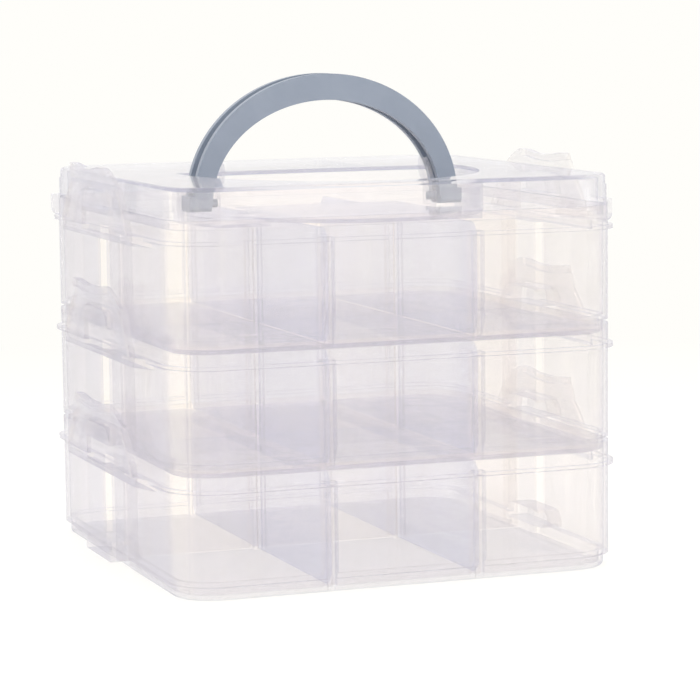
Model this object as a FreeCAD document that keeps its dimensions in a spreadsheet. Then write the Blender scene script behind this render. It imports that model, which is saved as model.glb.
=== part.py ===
# Stackable storage box: three trays, a lid with a folding handle, six latch flaps and twelve dividers.
# Millimetres, +Z up, front towards -Y. The origin is the middle of the underside of the bottom tray.

import FreeCAD, Part
import math
import os
import Sketcher

doc = FreeCAD.newDocument("storage_box")
dims = doc.addObject("Spreadsheet::Sheet", "Dims")
rows_written = 0


def size(alias, value):
    """Put one named size in the sheet."""
    global rows_written
    rows_written += 1
    cell = f"B{rows_written}"
    dims.set(f"A{rows_written}", alias)
    dims.set(cell, str(value))
    dims.setAlias(cell, alias)


# Whole box
size("lip_len", 150)
size("lip_dep", 150)
size("box_high", 125)

# Tray shell
size("lip_out", 1.6)
size("lip_thick", 1.2)
size("skin", 1.4)
size("corner_rad", 15)
size("floor_thick", 1.5)
size("foot_high", 4.3)
size("foot_round", 1.5)
size("tray_rise", 34.2)
size("rim_high", 6.2)
size("nest_drop", 3.0)
size("nest_gap", 0.3)

# Side channel, lug and hinge band
size("channel_wide", 24)
size("channel_deep", 3)
size("lug_wide", 28.6)
size("lug_high", 5.5)
size("lug_up", 3.3)
size("lug_out", 3.6)
size("lug_round", 5)
size("band_wide", 80)
size("band_taper", 12)
size("band_high", 3)

# Posts and dividers
size("column_off", 24.5)
size("post_wide", 4.4)
size("groove_wide", 2.5)
size("groove_skin", 0.7)
size("slot_deep", 1.8)
size("divider_thick", 1.2)
size("divider_side", 0.2)
size("divider_gap", 0.3)
size("divider_top_gap", 0.6)
size("divider_cut", 3)
size("mid_post_out", 2.5)

# Latch flap
size("flap_off", 0.9)
size("flap_thick", 1.5)
size("flap_wide", 78)
size("flap_high", 20)
size("flap_dip", 1)
size("flap_bend", 14)
size("window_wide", 32)
size("window_high", 12.7)
size("window_rad", 6.5)
size("lean_from", 13.4)
size("flap_lean", 2.3)
size("lean_bend", 2)
size("curl_out", 2.9)
size("curl_thick", 2.4)
size("bead_wide", 1.6)
size("bead_out", 0.7)

# Lid
size("flange_thick", 1)
size("plateau_in", 0.4)
size("top_in", 0.8)
size("step_down", 3.4)
size("top_round", 1.2)
size("bowl_skin", 1.2)
size("bowl_wide", 97)
size("bowl_front", 64)
size("bowl_rear", 8)
size("bowl_rear_side", 5.6)
size("trough_in", 28.4)
size("trough_front", 26)
size("trough_skin", 1)
size("tab_off", 0.4)
size("tab_thick", 2.7)
size("tab_wide", 10)
size("tab_high", 7.1)
size("tab_place", 53.5)

# Handle
size("pivot_up", 115.4)
size("handle_wide", 91)
size("handle_rise", 41)
size("handle_dep", 9.6)
size("eye_wide", 78.6)
size("eye_rise", 32.5)
size("flange_dep", 2.5)
size("channel_out", 2.4)
size("end_inner", 39.7)
size("end_outer", 47)
size("end_high", 5)
size("end_round", 1.5)
size("pin_rad", 1.4)
size("pin_in", 36.6)
size("pin_gap", 0.06)
size("fold_gap", 0.3)
size("ear_outer", 38.6)
size("ear_inner", 36.2)
size("ear_wide", 6)
size("ear_bend", 3)
size("fin_up", 9.6)
size("fin_top", 12.8)
size("fin_thick", 2.7)
size("fin_tip", 0.6)
size("fin_gap", 0.4)
doc.recompute()

# Sizes that follow from the ones above
WALL_X = "(Dims.lip_len / 2 - Dims.lip_out)"
WALL_Y = "(Dims.lip_dep / 2 - Dims.lip_out)"
FOOT_IN = "(Dims.skin + Dims.nest_gap)"
RIM_TOP = "(Dims.tray_rise + Dims.rim_high)"
PITCH = "(Dims.tray_rise + Dims.rim_high - Dims.nest_drop)"
LEDGE = "(Dims.foot_high + Dims.skin)"
BAND_X = "(Dims.lip_len / 2 + Dims.flap_off + Dims.flap_thick)"
LUG_X = "(Dims.lip_len / 2 + Dims.lug_out)"
SLOT_END = f"({WALL_Y} - {FOOT_IN} - Dims.skin)"
MID_SLOT = "(Dims.skin / 2 + Dims.mid_post_out - Dims.slot_deep)"


def number(text):
    """Value of an expression over the sheet."""
    return float(dims.evalExpression(text))


def side(sign, low, high):
    """Two expressions in rising order, mirrored to the negative side when sign is -1."""
    return (low, high) if sign > 0 else (f"-({high})", f"-({low})")


def new_body(name):
    body = doc.addObject("PartDesign::Body", name)
    body.Label = name
    return body


def new_sketch(body, name, role, level):
    """Sketch parallel to an origin plane of its body, at a level along the plane's normal."""
    sketch = body.newObject("Sketcher::SketchObject", name)
    plane = next(item for item in body.Origin.OriginFeatures if item.Role == role)
    sketch.AttachmentSupport = (plane, [""])
    sketch.MapMode = "FlatFace"
    sketch.setExpression("AttachmentOffset.Base.z", level)
    return sketch


def hold(sketch, kind, geometry, point, text):
    """Bind one coordinate of a sketch point to an expression."""
    index = sketch.addConstraint(Sketcher.Constraint(kind, -1, 1, geometry, point, number(text)))
    sketch.setExpression(f"Constraints[{index}]", text)


def polygon(sketch, points, radii=None):
    """Closed outline through points given as pairs of expressions, with some corners rounded."""
    spots = [FreeCAD.Vector(number(x), number(y), 0) for x, y in points]
    first = sketch.GeometryCount
    count = len(points)
    corners = [(first + index, 1) for index in range(count)]
    for index in range(count):
        sketch.addGeometry(Part.LineSegment(spots[index], spots[(index + 1) % count]))
    for index in range(count):
        following = first + (index + 1) % count
        sketch.addConstraint(Sketcher.Constraint("Coincident", first + index, 2, following, 1))
    bound = []
    for index, radius in enumerate(radii or []):
        if radius:
            sketch.fillet(first + index, 1, number(radius), 1, True)
            corners[index] = (sketch.GeometryCount - 1, 1)
            bound.append((sketch.GeometryCount - 2, radius))
    for arc, radius in bound:
        spot = sketch.addConstraint(Sketcher.Constraint("Radius", arc, number(radius)))
        sketch.setExpression(f"Constraints[{spot}]", radius)
    for corner, (x, y) in zip(corners, points):
        hold(sketch, "DistanceX", *corner, x)
        hold(sketch, "DistanceY", *corner, y)


def rectangle(sketch, x_pair, y_pair):
    (low_x, high_x), (low_y, high_y) = x_pair, y_pair
    polygon(sketch, [(low_x, low_y), (high_x, low_y), (high_x, high_y), (low_x, high_y)])


def rounded(sketch, half_x, half_y, radius):
    """Rectangle about the origin with four equal corner arcs."""
    wide, deep, rad = number(half_x), number(half_y), number(radius)
    corners = [(1, 1, 0), (-1, 1, 90), (-1, -1, 180), (1, -1, 270)]
    ends = []
    for sign_x, sign_y, start in corners:
        centre = FreeCAD.Vector(sign_x * (wide - rad), sign_y * (deep - rad), 0)
        circle = Part.Circle(centre, FreeCAD.Vector(0, 0, 1), rad)
        arc = Part.ArcOfCircle(circle, math.radians(start), math.radians(start + 90))
        sketch.addGeometry(arc)
        ends.append((arc.StartPoint, arc.EndPoint))
    for index in range(4):
        sketch.addGeometry(Part.LineSegment(ends[index][1], ends[(index + 1) % 4][0]))
    for index in range(4):
        line = 4 + index
        sketch.addConstraint(Sketcher.Constraint("Tangent", index, 2, line, 1))
        sketch.addConstraint(Sketcher.Constraint("Tangent", line, 2, (index + 1) % 4, 1))
        sketch.addConstraint(Sketcher.Constraint("Vertical" if index % 2 else "Horizontal", line))
        if index:
            sketch.addConstraint(Sketcher.Constraint("Equal", 0, index))
    spot = sketch.addConstraint(Sketcher.Constraint("Radius", 0, rad))
    sketch.setExpression(f"Constraints[{spot}]", radius)
    hold(sketch, "DistanceY", 4, 1, half_y)
    hold(sketch, "DistanceX", 5, 1, f"-({half_x})")
    hold(sketch, "DistanceY", 6, 1, f"-({half_y})")
    hold(sketch, "DistanceX", 7, 1, half_x)


def half_ellipse(sketch, half_x, half_y, upward):
    """Upper or lower half of an ellipse about the origin, held by its two axes. Returns its index."""
    wide, high = number(half_x), number(half_y)
    centre = FreeCAD.Vector(0, 0, 0)
    tall = high > wide
    along = FreeCAD.Vector(0, high, 0) if tall else FreeCAD.Vector(wide, 0, 0)
    across = FreeCAD.Vector(-wide, 0, 0) if tall else FreeCAD.Vector(0, high, 0)
    ellipse = Part.Ellipse(along, across, centre)
    start = (270 if upward else 90) if tall else (0 if upward else 180)
    arc = Part.ArcOfEllipse(ellipse, math.radians(start), math.radians(start + 180))
    index = sketch.addGeometry(arc)
    sketch.exposeInternalGeometry(index)
    axes = (index + 1, index + 2)
    sketch.addConstraint(Sketcher.Constraint("Coincident", index, 3, -1, 1))
    sketch.addConstraint(Sketcher.Constraint("Vertical" if tall else "Horizontal", axes[0]))
    for end in (1, 2):
        sketch.addConstraint(Sketcher.Constraint("PointOnObject", index, end, -1))
    lengths = (half_y, half_x) if tall else (half_x, half_y)
    for axis, half in zip(axes, lengths):
        spot = sketch.addConstraint(Sketcher.Constraint("Distance", axis, 2 * number(half)))
        sketch.setExpression(f"Constraints[{spot}]", f"2 * ({half})")
    return index


def join(sketch, first, first_end, second, second_end):
    sketch.addConstraint(Sketcher.Constraint("Coincident", first, first_end, second, second_end))


def pad(body, name, sketch, length):
    feature = body.newObject("PartDesign::Pad", name)
    feature.Profile = sketch
    feature.setExpression("Length", length)
    sketch.Visibility = False
    return feature


def pocket(body, name, sketch, length):
    """Cut from the sketch against its normal, and make sure that it removes something."""
    doc.recompute()
    before = body.Shape.Volume
    feature = body.newObject("PartDesign::Pocket", name)
    feature.Profile = sketch
    feature.setExpression("Length", length)
    doc.recompute()
    if not body.Shape.Volume < before - 0.001:
        raise RuntimeError(f"{name} removes nothing")
    return feature


def slab(body, name, half_x, half_y, radius, low, high):
    """Rounded plate about the Z axis between two levels."""
    sketch = new_sketch(body, f"{name}_outline", "XY_Plane", low)
    rounded(sketch, half_x, half_y, radius)
    return pad(body, name, sketch, f"{high} - ({low})")


def well(body, name, half_x, half_y, radius, low, high):
    """Rounded hollow about the Z axis between two levels."""
    sketch = new_sketch(body, f"{name}_outline", "XY_Plane", high)
    rounded(sketch, half_x, half_y, radius)
    return pocket(body, name, sketch, f"{high} - ({low})")


def block(body, name, x_pair, y_pair, z_pair, cut=False):
    """Box between pairs of expressions, added or cut."""
    kind = "PartDesign::SubtractiveBox" if cut else "PartDesign::AdditiveBox"
    box = body.newObject(kind, name)
    for length, axis, (low, high) in zip(("Length", "Width", "Height"), "xyz", (x_pair, y_pair, z_pair)):
        box.setExpression(length, f"({high}) - ({low})")
        box.setExpression(f"Placement.Base.{axis}", low)
    return box


def round_edges(body, name, radius, wanted):
    """Fillet the edges of the body's shape that a test on their middle points picks."""
    doc.recompute()
    base = body.Tip
    names = []
    for index, edge in enumerate(base.Shape.Edges, 1):
        middle = edge.valueAt((edge.FirstParameter + edge.LastParameter) / 2)
        if wanted(edge, middle):
            names.append(f"Edge{index}")
    if not names:
        raise RuntimeError(f"{name} finds no edge")
    fillet = body.newObject("PartDesign::Fillet", name)
    fillet.Base = (base, names)
    fillet.setExpression("Radius", radius)
    return fillet


def near(value, text):
    return abs(value - number(text)) < 0.01


def lift_to(body, level):
    body.setExpression("Placement.Base.z", level)


def side_lugs(body, low):
    """Block on each side that the latch flap of the tier below closes over, round at its upper corners."""
    half, high = "(Dims.lug_wide / 2)", f"({low} + Dims.lug_high)"
    for label, level in (("right", f"({WALL_X} - Dims.channel_deep)"), ("left", f"-{LUG_X}")):
        sketch = new_sketch(body, f"lug_outline_{label}", "YZ_Plane", level)
        polygon(sketch, [(f"-{half}", low), (half, low), (half, high), (f"-{half}", high)],
                [None, None, "Dims.lug_round", "Dims.lug_round"])
        pad(body, f"lug_{label}", sketch, f"{LUG_X} - ({WALL_X} - Dims.channel_deep)")


# Trays, all of one form
def tray(name, tier):
    body = new_body(name)
    foot_x, foot_y = f"({WALL_X} - {FOOT_IN})", f"({WALL_Y} - {FOOT_IN})"
    foot_rad = f"(Dims.corner_rad - {FOOT_IN})"
    slab(body, "foot", foot_x, foot_y, foot_rad, "0", "Dims.foot_high")
    round_edges(body, "foot_edge", "Dims.foot_round", lambda edge, at: abs(at.z) < 0.01)
    slab(body, "wall", WALL_X, WALL_Y, "Dims.corner_rad", "Dims.foot_high", RIM_TOP)
    lip_low = "(Dims.tray_rise - Dims.lip_thick)"
    lip_rad = "(Dims.corner_rad + Dims.lip_out)"
    slab(body, "lip", "(Dims.lip_len / 2)", "(Dims.lip_dep / 2)", lip_rad, lip_low, "Dims.tray_rise")

    band_low = "(Dims.tray_rise - Dims.band_high)"
    bands = new_sketch(body, "band_outlines", "XY_Plane", band_low)
    long_half, short_half = "(Dims.band_wide / 2 + Dims.band_taper)", "(Dims.band_wide / 2)"
    for sign in ("", "-"):
        root_x, outer_x = f"{sign}({WALL_X} - Dims.skin / 2)", f"{sign}{BAND_X}"
        polygon(bands, [(root_x, f"-{long_half}"), (outer_x, f"-{short_half}"), (outer_x, short_half),
                        (root_x, long_half)])
    pad(body, "bands", bands, "Dims.band_high")

    well(body, "hollow", f"({WALL_X} - Dims.skin)", f"({WALL_Y} - Dims.skin)", "(Dims.corner_rad - Dims.skin)",
         LEDGE, RIM_TOP)
    well(body, "foot_hollow", f"({foot_x} - Dims.skin)", f"({foot_y} - Dims.skin)", f"({foot_rad} - Dims.skin)",
         "Dims.floor_thick", LEDGE)

    # Cross wall and the posts that guide the dividers, which stay inside the foot below the wall
    block(body, "cross_wall", (f"-({WALL_X} - Dims.skin / 2)", f"{WALL_X} - Dims.skin / 2"),
          ("-Dims.skin / 2", "Dims.skin / 2"), ("Dims.floor_thick / 2", "Dims.tray_rise"))
    posts = new_sketch(body, "post_outlines", "XY_Plane", "Dims.floor_thick / 2")
    backs = new_sketch(body, "post_back_outlines", "XY_Plane", "Dims.foot_high")
    slots = new_sketch(body, "slot_outlines", "XY_Plane", "Dims.tray_rise")
    grooves = new_sketch(body, "groove_outlines", "XY_Plane", lip_low)
    for sign_x in (1, -1):
        post_x = side(sign_x, "(Dims.column_off - Dims.post_wide / 2)", "(Dims.column_off + Dims.post_wide / 2)")
        slot_half = "(Dims.divider_thick / 2 + Dims.divider_side)"
        slot_x = side(sign_x, f"(Dims.column_off - {slot_half})", f"(Dims.column_off + {slot_half})")
        groove_x = side(sign_x, "(Dims.column_off - Dims.groove_wide / 2)",
                        "(Dims.column_off + Dims.groove_wide / 2)")
        for sign_y in (1, -1):
            rectangle(posts, post_x, side(sign_y, f"({SLOT_END} - Dims.slot_deep)", f"({foot_y} - Dims.skin / 2)"))
            rectangle(backs, post_x, side(sign_y, f"({SLOT_END} - Dims.slot_deep)", f"({WALL_Y} - Dims.skin / 2)"))
            rectangle(slots, slot_x, side(sign_y, f"({SLOT_END} - Dims.slot_deep - 1)", SLOT_END))
            rectangle(posts, post_x, side(sign_y, "(Dims.skin / 4)", "(Dims.skin / 2 + Dims.mid_post_out)"))
            rectangle(slots, slot_x, side(sign_y, MID_SLOT, "(Dims.skin / 2 + Dims.mid_post_out + 1)"))
            rectangle(grooves, groove_x, side(sign_y, f"({SLOT_END} + Dims.groove_skin)", f"({WALL_Y} + 1)"))
    pad(body, "posts", posts, "Dims.tray_rise - Dims.floor_thick / 2")
    pad(body, "post_backs", backs, "Dims.tray_rise - Dims.foot_high")
    pocket(body, "slots", slots, "Dims.tray_rise - Dims.floor_thick")
    pocket(body, "grooves", grooves, f"{lip_low} + 1")

    # Side channel under the band, with the wall carried round it
    for label, sign in (("right", 1), ("left", -1)):
        inner = f"({WALL_X} - Dims.channel_deep - Dims.skin)"
        half = "(Dims.channel_wide / 2)"
        for part, outer, low in (("foot", f"({foot_x} - Dims.skin / 2)", "Dims.floor_thick / 2"),
                                 ("wall", f"({WALL_X} - Dims.skin / 2)", "Dims.foot_high")):
            block(body, f"channel_{part}_{label}", side(sign, inner, outer),
                  (f"-({half} + Dims.skin)", f"{half} + Dims.skin"), (low, "Dims.tray_rise"))
        block(body, f"channel_{label}", side(sign, f"({WALL_X} - Dims.channel_deep)", f"({WALL_X} + 1)"),
              (f"-{half}", half), ("-1", band_low), cut=True)
        block(body, f"notch_{label}", side(sign, "(Dims.lip_len / 2)", f"({BAND_X} + 1)"),
              ("-Dims.window_wide / 2", "Dims.window_wide / 2"),
              ("Dims.tray_rise - Dims.band_high / 2", "Dims.tray_rise + 1"), cut=True)
    side_lugs(body, "Dims.lug_up")
    lift_to(body, f"{tier} * {PITCH}")
    return body


trays = [tray(name, tier) for tier, name in enumerate(("bottom_tray", "middle_tray", "top_tray"))]


# Latch flaps, each a plate on the band with a window over the lug
def flap(name, tier, turned):
    body = new_body(name)
    inner = "(Dims.lip_len / 2 + Dims.flap_off)"
    half = "(Dims.flap_wide / 2)"
    window = "(Dims.window_wide / 2)"
    high = "Dims.flap_high"
    # Outline of one half, from the base to the dip: distance from the middle, height above the lip
    flank = [(half, "0.001"), (f"({half} - 8.2)", f"({high} * 0.535)"), (f"({half} - 15)", f"({high} * 0.87)"),
             (f"({half} - 20)", high), ("14.5", high), ("6", f"({high} - Dims.flap_dip)")]
    bends = [None, "2 * Dims.flap_bend", "Dims.flap_bend", "Dims.flap_bend / 2", "Dims.flap_bend", "Dims.flap_bend"]
    inside = [(f"-{window}", "0.001"), (f"-{window}", "Dims.window_high"), (window, "Dims.window_high"),
              (window, "0.001")]
    outer = f"({inner} + Dims.flap_thick)"
    lean = "Dims.flap_lean"
    profile = new_sketch(body, "plate_profile", "XZ_Plane", f"-({half} + 1)")
    polygon(profile, [(inner, "0.001"), (outer, "0.001"), (outer, "Dims.lean_from"), (f"({outer} + {lean})", f"({high} + 1)"),
                      (f"({inner} + {lean})", f"({high} + 1)"), (inner, "Dims.lean_from")],
            [None, None, "Dims.lean_bend", None, None, "Dims.lean_bend"])
    pad(body, "plate", profile, "Dims.flap_wide + 2")
    around = new_sketch(body, "plate_outline", "YZ_Plane", f"({outer} + {lean} + 1)")
    polygon(around, flank + [(f"-({y})", z) for y, z in reversed(flank)] + inside,
            bends + bends[::-1] + [None, "Dims.window_rad", "Dims.window_rad", None])
    rectangle(around, (f"-({half} + 3)", f"({half} + 3)"), ("-1", f"({high} + 3)"))
    pocket(body, "outside", around, f"Dims.flap_thick + {lean} + 2")

    # Finger lip along the crest
    crest = [(f"({half} - 20.5)", high), ("14.5", high), ("6", f"({high} - Dims.flap_dip)")]
    below = [(y, f"({z} - Dims.curl_thick)") for y, z in crest]
    lip = new_sketch(body, "lip_outline", "YZ_Plane", f"({outer} + {lean} - 1.4)")
    polygon(lip, crest + [(f"-({y})", z) for y, z in reversed(crest)]
            + [(f"-({y})", z) for y, z in below] + below[::-1],
            [None, "Dims.flap_bend", "Dims.flap_bend", "Dims.flap_bend", "Dims.flap_bend", None] * 2)
    pad(body, "finger_lip", lip, f"Dims.curl_out - {lean} + 1.4")

    # Bead along both flanks of the upright part
    for label, sign in (("front", "-"), ("rear", "")):
        line = [(f"{sign}({y})", z) for y, z in flank[:2] + [(f"({half} - 12.2)", "Dims.lean_from")]]
        back = [(f"{sign}({y} - Dims.bead_wide)", z) for y, z in flank[:2] + [(f"({half} - 12.2)", "Dims.lean_from")]]
        bead = new_sketch(body, f"bead_outline_{label}", "YZ_Plane", inner)
        polygon(bead, line + back[::-1], [None, "2 * Dims.flap_bend", None, None, "2 * Dims.flap_bend", None])
        pad(body, f"bead_{label}", bead, "Dims.flap_thick + Dims.bead_out")
    lift_to(body, f"{tier} * {PITCH} + Dims.tray_rise")
    body.Placement.Rotation = FreeCAD.Rotation(FreeCAD.Vector(0, 0, 1), 180 if turned else 0)
    return body


flaps = []
for tier, label in enumerate(("bottom", "middle", "top")):
    flaps.append(flap(f"latch_{label}_right", tier, False))
    flaps.append(flap(f"latch_{label}_left", tier, True))



# Dividers, each a loose plate in the slots of two posts
def divider(name, tier, column, row):
    body = new_body(name)
    near_end = f"({MID_SLOT} + Dims.divider_gap)"
    far_end = f"({SLOT_END} - Dims.divider_gap)"
    low = "(Dims.floor_thick + Dims.divider_gap)"
    high = f"({PITCH} - Dims.divider_top_gap)"
    sketch = new_sketch(body, "plate_outline", "YZ_Plane", "-Dims.divider_thick / 2")
    cut_end = f"({far_end} - Dims.divider_cut)"
    polygon(sketch, [(near_end, low), (cut_end, low), (far_end, f"({low} + Dims.divider_cut)"),
                     (far_end, f"({high} - Dims.divider_cut)"), (cut_end, high), (near_end, high)])
    pad(body, "plate", sketch, "Dims.divider_thick")
    lift_to(body, f"{tier} * {PITCH}")
    body.setExpression("Placement.Base.x", f"{column} * Dims.column_off")
    body.Placement.Rotation = FreeCAD.Rotation(FreeCAD.Vector(0, 0, 1), 0 if row > 0 else 180)
    return body


dividers = []
for tier, label in enumerate(("bottom", "middle", "top")):
    for row_label, row in (("front", -1), ("rear", 1)):
        for column_label, column in (("left", -1), ("right", 1)):
            dividers.append(divider(f"divider_{label}_{row_label}_{column_label}", tier, column, row))


# Lid, in its own frame from the bottom of the spigot
LID_TOP = f"(Dims.box_high - 3 * {PITCH})"
PIVOT = f"(Dims.pivot_up - 3 * {PITCH})"
TROUGH_FLOOR = f"({PIVOT} - Dims.handle_dep / 2 - Dims.fold_gap)"
FLANGE_TOP = "(Dims.nest_drop + Dims.flange_thick)"


def bowl_outline(sketch, grow):
    """Outline of the handle's recess: half an ellipse in front, two short sides and an arc behind."""
    half = f"(Dims.bowl_wide / 2 + {grow})"
    side_y = f"(Dims.bowl_rear_side + {grow})"
    rear_y = f"(Dims.bowl_rear + {grow})"
    front = half_ellipse(sketch, half, f"(Dims.bowl_front + {grow})", False)
    wide, short, back = number(half), number(side_y), number(rear_y)
    corners = [FreeCAD.Vector(wide, short, 0), FreeCAD.Vector(0, back, 0), FreeCAD.Vector(-wide, short, 0)]
    right = sketch.addGeometry(Part.LineSegment(FreeCAD.Vector(wide, 0, 0), corners[0]))
    rear = sketch.addGeometry(Part.Arc(*corners))
    left = sketch.addGeometry(Part.LineSegment(corners[2], FreeCAD.Vector(-wide, 0, 0)))
    join(sketch, front, 2, right, 1)
    join(sketch, right, 2, rear, 1)
    join(sketch, rear, 2, left, 1)
    join(sketch, left, 2, front, 1)
    sketch.addConstraint(Sketcher.Constraint("Vertical", right))
    sketch.addConstraint(Sketcher.Constraint("Vertical", left))
    hold(sketch, "DistanceY", right, 2, side_y)
    hold(sketch, "DistanceY", left, 1, side_y)
    rise = f"({rear_y} - {side_y})"
    radius = f"(({half}) * ({half}) + {rise} * {rise}) / (2 * {rise})"
    spot = sketch.addConstraint(Sketcher.Constraint("Radius", rear, number(radius)))
    sketch.setExpression(f"Constraints[{spot}]", radius)


def trough_outline(sketch, grow):
    """Outline of the two deeper ends of the recess, under the legs of the folded handle."""
    front = f"-(Dims.trough_front + {grow})"
    outer = f"(Dims.bowl_wide / 2 - 0.2 + {grow})"
    front_outer = f"(Dims.bowl_wide / 2 - 4.5 + {grow})"
    inner = f"(Dims.trough_in - {grow})"
    rear = f"(Dims.bowl_rear_side + {grow})"
    polygon(sketch, [(inner, rear), (outer, rear), (outer, "-1"), (front_outer, front), (inner, front)])
    polygon(sketch, [(f"-{inner}", rear), (f"-{outer}", rear), (f"-{outer}", "-1"), (f"-{front_outer}", front),
                     (f"-{inner}", front)])


lid = new_body("lid")
foot_x, foot_y = f"({WALL_X} - {FOOT_IN})", f"({WALL_Y} - {FOOT_IN})"
foot_rad = f"(Dims.corner_rad - {FOOT_IN})"
slab(lid, "spigot", foot_x, foot_y, foot_rad, "0", "Dims.nest_drop")
slab(lid, "flange", WALL_X, WALL_Y, "Dims.corner_rad", "Dims.nest_drop", FLANGE_TOP)
step = f"({LID_TOP} - Dims.step_down)"
for name, inset, low, high in (("plateau", "Dims.plateau_in", FLANGE_TOP, step),
                               ("crown", "Dims.top_in", step, LID_TOP)):
    slab(lid, name, f"({WALL_X} - {inset})", f"({WALL_Y} - {inset})", f"(Dims.corner_rad - {inset})", low, high)
round_edges(lid, "crown_edge", "Dims.top_round", lambda edge, at: near(at.z, LID_TOP))
well(lid, "hollow", f"({foot_x} - Dims.skin)", f"({foot_y} - Dims.skin)", f"({foot_rad} - Dims.skin)",
     "0", f"({LID_TOP} - Dims.skin)")
bowl = new_sketch(lid, "bowl_outline", "XY_Plane", "0")
bowl_outline(bowl, "Dims.bowl_skin")
pad(lid, "bowl", bowl, f"{LID_TOP} - Dims.skin / 2")
trough = new_sketch(lid, "trough_outline", "XY_Plane", f"({TROUGH_FLOOR} - Dims.trough_skin)")
trough_outline(trough, "Dims.trough_skin")
pad(lid, "troughs", trough, f"Dims.bowl_skin / 2 - ({TROUGH_FLOOR} - Dims.trough_skin)")
bowl_cut = new_sketch(lid, "bowl_hollow_outline", "XY_Plane", LID_TOP)
bowl_outline(bowl_cut, "0")
pocket(lid, "bowl_hollow", bowl_cut, f"{LID_TOP} - Dims.bowl_skin")
trough_cut = new_sketch(lid, "trough_hollow_outline", "XY_Plane", "Dims.bowl_skin")
trough_outline(trough_cut, "0")
pocket(lid, "trough_hollow", trough_cut, f"Dims.bowl_skin - ({TROUGH_FLOOR})")

# Ears that carry the handle's pins, each with a fin that follows the inside of the raised handle
ear_top = f"({PIVOT} + Dims.ear_bend)"
ear_low = f"({TROUGH_FLOOR} - Dims.trough_skin / 2)"
for label, sign in (("right", ""), ("left", "-")):
    reach = "(Dims.eye_wide / 2)"
    # Inside of the handle at a height over its pivot, for the widest swing of the ear's edge
    edges = []
    for up in ("Dims.fin_up", "Dims.fin_top"):
        span = f"({up} * {up} + Dims.ear_wide * Dims.ear_wide / 4)"
        edges.append(f"({reach} * sqrt(1 - {span} / (Dims.eye_rise * Dims.eye_rise)) - Dims.fin_gap)")
    line = [("Dims.ear_outer", ear_low), ("Dims.ear_outer", ear_top), (edges[0], f"({PIVOT} + Dims.fin_up)"),
            (edges[1], f"({PIVOT} + Dims.fin_top)"), (f"({edges[1]} - Dims.fin_tip)", f"({PIVOT} + Dims.fin_top)"),
            (f"({edges[0]} - Dims.fin_thick)", f"({PIVOT} + Dims.fin_up)"), ("Dims.ear_inner", ear_top),
            ("Dims.ear_inner", ear_low)]
    ear = new_sketch(lid, f"ear_outline_{label}", "XZ_Plane", "-Dims.ear_wide / 2")
    polygon(ear, [(f"{sign}({x})" if sign else x, z) for x, z in line])
    pad(lid, f"ear_{label}", ear, "Dims.ear_wide")
    bore = lid.newObject("PartDesign::SubtractiveCylinder", f"pin_hole_{label}")
    bore.setExpression("Radius", "Dims.pin_rad + Dims.pin_gap")
    bore.setExpression("Height", "Dims.ear_outer - Dims.ear_inner + 1")
    bore.Placement.Rotation = FreeCAD.Rotation(FreeCAD.Vector(0, 1, 0), 90 if not sign else -90)
    bore.setExpression("Placement.Base.x", f"{sign}(Dims.ear_inner - 0.5)" if sign else "Dims.ear_inner - 0.5")
    bore.setExpression("Placement.Base.z", PIVOT)

side_lugs(lid, "Dims.lug_up")
tab_low = f"({FLANGE_TOP} + 0.3 - Dims.tab_high)"
for label, sign_x, sign_y in (("front", 1, -1), ("rear", -1, 1)):
    tab_y = side(sign_y, "(Dims.tab_place - Dims.tab_wide / 2)", "(Dims.tab_place + Dims.tab_wide / 2)")
    tab_in, tab_out = f"({WALL_X} + Dims.tab_off)", f"({WALL_X} + Dims.tab_off + Dims.tab_thick)"
    block(lid, f"tab_{label}", side(sign_x, tab_in, tab_out), tab_y, (tab_low, f"({FLANGE_TOP} + 0.3)"))
    block(lid, f"tab_root_{label}", side(sign_x, f"({WALL_X} - 1)", tab_in), tab_y,
          ("Dims.nest_drop", f"({FLANGE_TOP} + 0.3)"))
round_edges(lid, "tab_edge", "Dims.tab_thick - 0.3",
            lambda edge, at: near(abs(at.x), tab_out) and near(at.z, tab_low))
lift_to(lid, f"3 * {PITCH}")

# Handle, in its own frame from the pin axis
handle = new_body("handle")


def arch(name, inset, level, depth):
    """Half ring between the outer and the inner ellipse of the handle, standing on the pin axis."""
    sketch = new_sketch(handle, f"{name}_outline", "XZ_Plane", level)
    outer = half_ellipse(sketch, f"(Dims.handle_wide / 2 - {inset})", f"(Dims.handle_rise - {inset})", True)
    inner = half_ellipse(sketch, f"(Dims.eye_wide / 2 + {inset})", f"(Dims.eye_rise + {inset})", True)
    for sign, end in ((1, 1), (-1, 2)):
        points = [FreeCAD.Vector(sign * (number(f"Dims.{wide}_wide") / 2 + shift * number(inset)), 0, 0)
                  for wide, shift in (("eye", 1), ("handle", -1))]
        foot = sketch.addGeometry(Part.LineSegment(*points))
        join(sketch, foot, 1, inner, end)
        join(sketch, foot, 2, outer, end)
    return pad(handle, name, sketch, depth)


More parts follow.
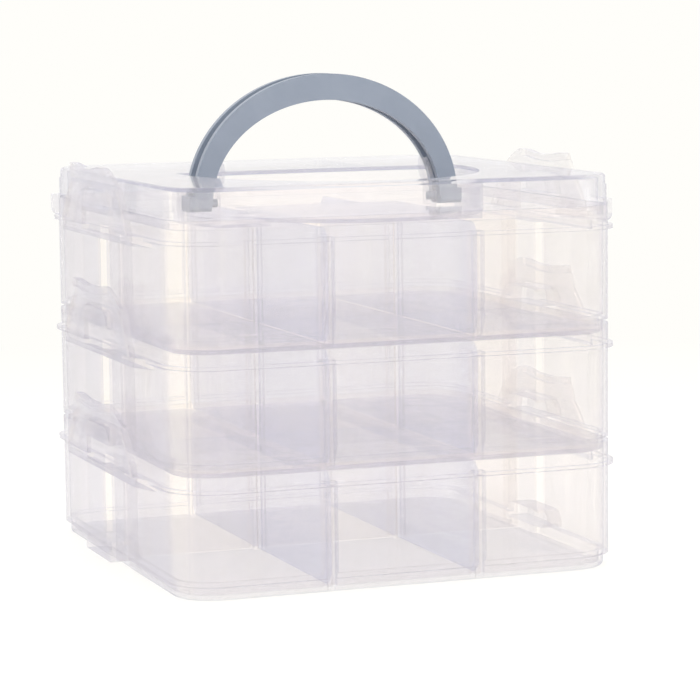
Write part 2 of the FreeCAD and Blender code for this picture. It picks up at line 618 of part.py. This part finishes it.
half_dep = "Dims.handle_dep / 2"
arch("rear_flange", "0", f"-{half_dep}", "Dims.flange_dep")
arch("web", "Dims.channel_out", f"-{half_dep} + Dims.flange_dep / 2", "Dims.handle_dep - Dims.flange_dep")
arch("front_flange", "0", f"{half_dep} - Dims.flange_dep", "Dims.flange_dep")
for label, sign in (("right", 1), ("left", -1)):
    end = new_sketch(handle, f"end_outline_{label}", "YZ_Plane", side(sign, "Dims.end_inner", "Dims.end_outer")[0])
    low, high = "-Dims.end_high / 2", "Dims.end_high / 2"
    polygon(end, [(f"-{half_dep}", low), (half_dep, low), (half_dep, high), (f"-{half_dep}", high)],
            ["Dims.end_round", "Dims.end_round", None, None])
    pad(handle, f"end_{label}", end, "Dims.end_outer - Dims.end_inner")
    pin = handle.newObject("PartDesign::AdditiveCylinder", f"pin_{label}")
    pin.setExpression("Radius", "Dims.pin_rad")
    pin.setExpression("Height", "Dims.end_inner - Dims.pin_in + 1")
    pin.Placement.Rotation = FreeCAD.Rotation(FreeCAD.Vector(0, 1, 0), 90 * sign)
    pin.setExpression("Placement.Base.x", f"{sign} * Dims.pin_in")
lift_to(handle, "Dims.pivot_up")

doc.recompute()
for item in doc.Objects:
    if "Invalid" in item.State or "Error" in item.State:
        raise RuntimeError(f"{item.Name} of {item.Label} has failed")
os.makedirs("parts", exist_ok=True)
for body in trays + flaps + dividers + [lid, handle]:
    if body.Shape.isNull() or not body.Shape.isValid():
        raise RuntimeError(f"{body.Label} has no valid shape")
    body.Shape.exportStep(f"parts/{body.Label}.step")
    box = body.Shape.BoundBox
    print(body.Label, len(body.Shape.Solids), round(body.Shape.Volume), box)
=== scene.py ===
# %% [markdown]
# # A stackable storage box with a folding handle
#
# The box is three clear trays, a lid, six latch flaps, twelve loose dividers and one grey handle. All of
# them were modelled as solids in CAD, and they come in here as a fixed frame: each node already has its
# right size and place, in metres, with +Z up and the front towards -Y. What is left for Blender is how the
# box looks: its plastics, its small rounded edges, the light around it and the camera.

# %% Load the frame
import math

import bpy
from mathutils import Matrix, Vector

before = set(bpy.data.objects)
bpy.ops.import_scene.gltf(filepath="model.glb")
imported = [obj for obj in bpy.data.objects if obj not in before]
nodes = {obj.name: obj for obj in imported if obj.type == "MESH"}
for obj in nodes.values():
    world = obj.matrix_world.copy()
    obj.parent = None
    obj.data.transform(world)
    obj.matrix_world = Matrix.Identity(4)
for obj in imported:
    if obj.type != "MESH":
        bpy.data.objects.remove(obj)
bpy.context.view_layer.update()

# %% [markdown]
# ## The camera
#
# The picture was taken from a little left of the front and a little above the lid, with a long lens, so the
# upright edges stay almost parallel. A camera in Blender looks along its own -Z axis with +Y as its up, so a
# matrix with the three directions as columns puts it in place. The third column is the way back from the
# object to the camera.

# %% Camera at the photograph's viewing angle
scene = bpy.context.scene
eye = Vector((-0.3234, -0.9010, 0.1795))
right = Vector((0.9378, -0.3471, -0.0120)).normalized()
back = Vector((-0.3434, -0.9317, 0.1182)).normalized()
up = back.cross(right).normalized()
right = up.cross(back).normalized()

lens = bpy.data.cameras.new("photo_lens")
lens.sensor_width = 36.0
lens.lens = 150.56
lens.clip_end = 20.0
camera = bpy.data.objects.new("photo_camera", lens)
scene.collection.objects.link(camera)
turn = Matrix((right, up, back)).transposed()
camera.matrix_world = Matrix.Translation(eye) @ turn.to_4x4()
scene.camera = camera
print("camera at", tuple(round(v, 3) for v in eye), "with a", round(lens.lens, 1), "mm lens")

# %% [markdown]
# ## Helpers for materials
#
# Colours are chosen on the screen as hex values, which are sRGB, while the shader calculates with linear
# light, so one function turns the one into the other. The second adds a node to a tree, sets its values and
# joins its sockets, which keeps every material below to a few readable lines.

# %% Helpers for colours and nodes
MM = 0.001
PLASTIC_IOR = 1.49  # polypropylene


def linear(code):
    """Linear RGBA of an sRGB hex colour."""
    channels = [int(code[i:i + 2], 16) / 255.0 for i in (1, 3, 5)]
    return tuple(c / 12.92 if c <= 0.04045 else ((c + 0.055) / 1.055) ** 2.4 for c in channels) + (1.0,)


def add(tree, kind, links=None, values=None, **settings):
    """Add one node. links maps its inputs to other nodes' outputs, values sets its unlinked inputs."""
    node = tree.nodes.new(kind)
    for key, value in settings.items():
        setattr(node, key, value)
    for key, value in (values or {}).items():
        node.inputs[key].default_value = value
    for key, source in (links or {}).items():
        tree.links.new(source, node.inputs[key])
    return node


def empty_material(name):
    material = bpy.data.materials.new(name)
    material.use_nodes = True
    material.node_tree.nodes.clear()
    return material, material.node_tree


print("white is", linear("#FFFFFF"), "and middle grey is", linear("#808080"))

# %% [markdown]
# ## Moulded clear polypropylene
#
# The trays, the lid and the dividers are injection moulded from natural polypropylene. It isn't as clear as
# glass: thin walls let most of the light through with a slight milky haze, and wherever we look along a wall
# instead of through it, the long way inside the plastic turns it a soft lavender grey. Those edges are what
# draws the box in the photograph.
#
# A look through the box crosses ten surfaces or more. With a refracting shader alone and a little roughness,
# each of them loses some light, and the box would come out far too grey. A flat wall barely bends a ray, so
# most of the light goes straight through a Transparent shader here, and a small share meets a Principled
# shader. That one holds the gloss, the bending and the milky part. A Layer Weight node raises its share where
# a surface is seen at a slant, as on real glass, and gives the straight light the lavender of the edges
# there.
#
# A Volume Absorption shader inside the solid takes away a little light for every millimetre of plastic. The
# mould was polished but not perfect: flow waves of about 14 mm go into the tint and the bump, and a grain of
# about 0.8 mm into the roughness and the bump. The real grain is too fine to show, so it is drawn coarser.

# %% Clear plastic
WAVES_PER_METRE = 70.0
GRAINS_PER_METRE = 1250.0
WAVE_HEIGHT = 0.03 * MM
GRAIN_HEIGHT = 0.001 * MM
SLANT_POWER = 5.0  # how late towards grazing a clear wall starts to mirror


def clear_polypropylene(name, tints, inside, per_metre, body, milk, roughness):
    """tints: clear, where a wave passes, and at a slant. body: share of the Principled shader face on."""
    clear, wavy, edge = (linear(code) for code in tints)
    material, tree = empty_material(name)
    place = add(tree, "ShaderNodeTexCoord")
    waves = add(tree, "ShaderNodeTexNoise", {"Vector": place.outputs["Object"]},
                {"Scale": WAVES_PER_METRE, "Detail": 2.0, "Roughness": 0.45})
    grain = add(tree, "ShaderNodeTexNoise", {"Vector": place.outputs["Object"]},
                {"Scale": GRAINS_PER_METRE, "Detail": 3.0, "Roughness": 0.6})
    colour = add(tree, "ShaderNodeMix", {"Factor": waves.outputs["Fac"]}, {"A": clear, "B": wavy},
                 data_type="RGBA")
    rough = add(tree, "ShaderNodeMapRange", {"Value": grain.outputs["Fac"]},
                {"From Min": 0.3, "From Max": 0.7, "To Min": roughness * 0.7, "To Max": roughness * 1.3})
    soft = add(tree, "ShaderNodeBump", {"Height": waves.outputs["Fac"]},
               {"Strength": 1.0, "Distance": WAVE_HEIGHT})
    fine = add(tree, "ShaderNodeBump", {"Height": grain.outputs["Fac"], "Normal": soft.outputs["Normal"]},
               {"Strength": 0.5, "Distance": GRAIN_HEIGHT})
    plastic = add(tree, "ShaderNodeBsdfPrincipled",
                  {"Base Color": colour.outputs["Result"], "Roughness": rough.outputs["Result"],
                   "Normal": fine.outputs["Normal"]},
                  {"IOR": PLASTIC_IOR, "Transmission Weight": 1.0 - milk})
    facing = add(tree, "ShaderNodeLayerWeight", {"Normal": soft.outputs["Normal"]}, {"Blend": 0.5})
    slant = add(tree, "ShaderNodeMath", {0: facing.outputs["Facing"]}, {1: SLANT_POWER}, operation="POWER")
    through = add(tree, "ShaderNodeMix", {"Factor": slant.outputs[0], "A": colour.outputs["Result"]},
                  {"B": edge}, data_type="RGBA")
    straight = add(tree, "ShaderNodeBsdfTransparent", {"Color": through.outputs["Result"]})
    share = add(tree, "ShaderNodeMapRange", {"Value": slant.outputs[0]}, {"To Min": body, "To Max": 1.0})
    wall = add(tree, "ShaderNodeMixShader",
               {0: share.outputs["Result"], 1: straight.outputs["BSDF"], 2: plastic.outputs["BSDF"]})
    depth = add(tree, "ShaderNodeVolumeAbsorption", None, {"Color": linear(inside), "Density": per_metre})
    add(tree, "ShaderNodeOutputMaterial",
        {"Surface": wall.outputs["Shader"], "Volume": depth.outputs["Volume"]})
    return material


tray_plastic = clear_polypropylene(
    "moulded clear polypropylene, tray", ("#FFFEFE", "#FFFEFC", "#A0A2C4"),
    inside="#C6C6D6", per_metre=12.0, body=0.09, milk=0.35, roughness=0.05)
lid_plastic = clear_polypropylene(
    "moulded clear polypropylene, lid", ("#FFFEFE", "#FFFFFF", "#A0A3C4"),
    inside="#C6C6D6", per_metre=12.0, body=0.09, milk=0.35, roughness=0.05)
divider_plastic = clear_polypropylene(
    "moulded clear polypropylene, divider", ("#F9FAFE", "#FBFCFE", "#9A9FCC"),
    inside="#B4BADC", per_metre=14.0, body=0.12, milk=0.40, roughness=0.06)
print("clear plastics:", tray_plastic.name, "|", lid_plastic.name, "|", divider_plastic.name)

# %% [markdown]
# ## Satin grey plastic of the handle
#
# The handle is the one opaque piece, moulded in slate grey. Its mould was lightly blasted, so the surface is
# satin: highlights are wide and soft, and a fine grain breaks them up. The grain is drawn at about 0.6 mm.
# Slow streaks of about 17 mm run through the colour where the melt flowed round the arch.
#
# The light below is stronger than a plain level, and these two greys were set darker to suit it. Under plain
# light they are too dark for the real handle, which is nearer to #9CA6B3.

# %% Handle plastic
STREAKS_PER_METRE = 60.0
SATIN_GRAINS_PER_METRE = 1700.0
SATIN_GRAIN_HEIGHT = 0.02 * MM
SATIN_SPREAD = 0.06  # how far the grain moves the roughness up and down


def satin_plastic(name, base, streak, roughness):
    material, tree = empty_material(name)
    place = add(tree, "ShaderNodeTexCoord")
    streaks = add(tree, "ShaderNodeTexNoise", {"Vector": place.outputs["Object"]},
                  {"Scale": STREAKS_PER_METRE, "Detail": 3.0, "Roughness": 0.5, "Distortion": 1.2})
    grain = add(tree, "ShaderNodeTexNoise", {"Vector": place.outputs["Object"]},
                {"Scale": SATIN_GRAINS_PER_METRE, "Detail": 2.0, "Roughness": 0.6})
    colour = add(tree, "ShaderNodeMix", {"Factor": streaks.outputs["Fac"]},
                 {"A": linear(base), "B": linear(streak)}, data_type="RGBA")
    rough = add(tree, "ShaderNodeMapRange", {"Value": grain.outputs["Fac"]},
                {"From Min": 0.3, "From Max": 0.7,
                 "To Min": roughness - SATIN_SPREAD, "To Max": roughness + SATIN_SPREAD})
    bump = add(tree, "ShaderNodeBump", {"Height": grain.outputs["Fac"]},
               {"Strength": 0.6, "Distance": SATIN_GRAIN_HEIGHT})
    plastic = add(tree, "ShaderNodeBsdfPrincipled",
                  {"Base Color": colour.outputs["Result"], "Roughness": rough.outputs["Result"],
                   "Normal": bump.outputs["Normal"]}, {"IOR": PLASTIC_IOR})
    add(tree, "ShaderNodeOutputMaterial", {"Surface": plastic.outputs["BSDF"]})
    return material


handle_plastic = satin_plastic("moulded satin polypropylene, slate grey", "#7A8493", "#8992A0", 0.42)
print("handle plastic:", handle_plastic.name)

# %% [markdown]
# ## Finish on the CAD pieces
#
# The CAD nodes keep their meshes. Each gets its plastic, and a Weld and a Bevel modifier, which join the
# loose triangles for the eye only and round every sharp edge by a fraction of a millimetre. No mould has
# perfectly sharp corners, and in clear plastic these small rounds are what catches the light.

# %% Give each node its plastic and its rounded edges
WELD_DISTANCE = 0.002 * MM
SHARP_ANGLE = math.radians(40)


def finish(node, material, rounding):
    node.data.materials.clear()
    node.data.materials.append(material)
    weld = node.modifiers.new("weld", "WELD")
    weld.merge_threshold = WELD_DISTANCE
    bevel = node.modifiers.new("moulded edges", "BEVEL")
    bevel.width = rounding
    bevel.segments = 2
    bevel.limit_method = "ANGLE"
    bevel.angle_limit = SHARP_ANGLE
    bevel.use_clamp_overlap = True
    bevel.harden_normals = False


for name, node in nodes.items():
    if name == "handle":
        finish(node, handle_plastic, 0.4 * MM)
    elif name == "lid":
        finish(node, lid_plastic, 0.25 * MM)
    elif name.startswith("divider"):
        finish(node, divider_plastic, 0.15 * MM)
    else:
        finish(node, tray_plastic, 0.25 * MM)
print("finished", len(nodes), "nodes")

# %% [markdown]
# ## Floor, backdrop and light
#
# The box stands in a white studio. For the camera, and for what mirrors and clear plastic show of it, the
# world is plain white, which is a strength of 1. For the light that falls on the box its strength is 1.2,
# and three large lamps stand for the soft boxes of a studio. Together they are about one and a half times a
# plain level, so an opaque colour renders lighter than it is written. That was set to lift the clear
# plastic. A better way would be a plain level and clearer plastic.
#
# The floor is pale, and mostly shows the same white, with a rest of real shading that keeps the soft shadow
# under the box. That rest fades out away from the box, so that no horizon shows.

# %% White world
STUDIO_WHITE = linear("#FFFEFA")


def shows_backdrop(tree):
    """1 for the rays that show the background: to the camera, from a mirror and through clear plastic."""
    ray = add(tree, "ShaderNodeLightPath")
    seen = add(tree, "ShaderNodeMath", {0: ray.outputs["Is Camera Ray"], 1: ray.outputs["Is Glossy Ray"]},
               operation="MAXIMUM")
    seen = add(tree, "ShaderNodeMath", {0: seen.outputs[0], 1: ray.outputs["Is Transmission Ray"]},
               operation="MAXIMUM")
    return seen.outputs[0]


world = bpy.data.worlds.new("studio")
scene.world = world
world.use_nodes = True
tree = world.node_tree
tree.nodes.clear()
lit = add(tree, "ShaderNodeBackground", None, {"Color": linear("#FFFCF9"), "Strength": 1.2})
white = add(tree, "ShaderNodeBackground", None, {"Color": STUDIO_WHITE, "Strength": 1.0})
both = add(tree, "ShaderNodeMixShader", {0: shows_backdrop(tree), 1: lit.outputs[0], 2: white.outputs[0]})
add(tree, "ShaderNodeOutputWorld", {"Surface": both.outputs[0]})
print("world strengths:", lit.inputs["Strength"].default_value, "on the box,",
      white.inputs["Strength"].default_value, "to the eye")

# %% Pale floor that keeps the shadow
REACH = 6.0  # metres from the middle to the floor's edge
SHADOW_NEAR, SHADOW_FAR = 0.12, 0.6  # metres over which the floor's own shading fades out
GLOW_NEAR = 0.75  # share of plain white beside the box

floor_mesh = bpy.data.meshes.new("studio_floor")
floor_mesh.from_pydata([(-REACH, -REACH, 0), (REACH, -REACH, 0), (REACH, REACH, 0), (-REACH, REACH, 0)],
                       [], [(0, 1, 2, 3)])
floor = bpy.data.objects.new("studio_floor", floor_mesh)
scene.collection.objects.link(floor)
paper, tree = empty_material("pale studio paper")
place = add(tree, "ShaderNodeTexCoord")
away = add(tree, "ShaderNodeVectorMath", {0: place.outputs["Object"]}, operation="LENGTH")
fade = add(tree, "ShaderNodeMapRange", {"Value": away.outputs["Value"]},
           {"From Min": SHADOW_NEAR, "From Max": SHADOW_FAR, "To Min": GLOW_NEAR, "To Max": 1.0})
share = add(tree, "ShaderNodeMath", {0: shows_backdrop(tree), 1: fade.outputs["Result"]},
            operation="MULTIPLY")
matt = add(tree, "ShaderNodeBsdfDiffuse", None, {"Color": linear("#F4F4F4")})
glow = add(tree, "ShaderNodeEmission", None, {"Color": STUDIO_WHITE, "Strength": 1.0})
mixed = add(tree, "ShaderNodeMixShader", {0: share.outputs[0], 1: matt.outputs[0], 2: glow.outputs[0]})
add(tree, "ShaderNodeOutputMaterial", {"Surface": mixed.outputs[0]})
floor.data.materials.append(paper)
print("floor reaches", REACH, "m each way")

# %% Three soft lamps
LAMPS = (  # name, place, side in metres, watts
    ("key", (-0.9, -0.9, 1.3), 1.0, 9.0),
    ("fill", (1.2, -0.7, 0.8), 1.0, 4.5),
    ("top", (0.1, 0.3, 1.6), 1.2, 7.0),
)
middle = Vector((0.0, 0.0, 0.07))
for name, spot, size, power in LAMPS:
    lamp = bpy.data.lights.new(name, "AREA")
    lamp.shape = "SQUARE"
    lamp.size = size
    lamp.energy = power
    holder = bpy.data.objects.new(name, lamp)
    holder.location = spot
    holder.rotation_euler = (middle - Vector(spot)).to_track_quat("-Z", "Y").to_euler()
    scene.collection.objects.link(holder)
    print("lamp", name, "of", power, "W")

# %% [markdown]
# ## Colour and rays
#
# The Standard view transform shows colours as they are written. A look through the box crosses many thin
# walls, two surfaces each, so the rays need more steps than Blender's defaults.

# %% View transform and ray depth
scene.view_settings.view_transform = "Standard"
scene.cycles.max_bounces = 28
scene.cycles.transmission_bounces = 28
scene.cycles.glossy_bounces = 16
scene.cycles.diffuse_bounces = 10
scene.cycles.transparent_max_bounces = 40
print("view transform", scene.view_settings.view_transform)
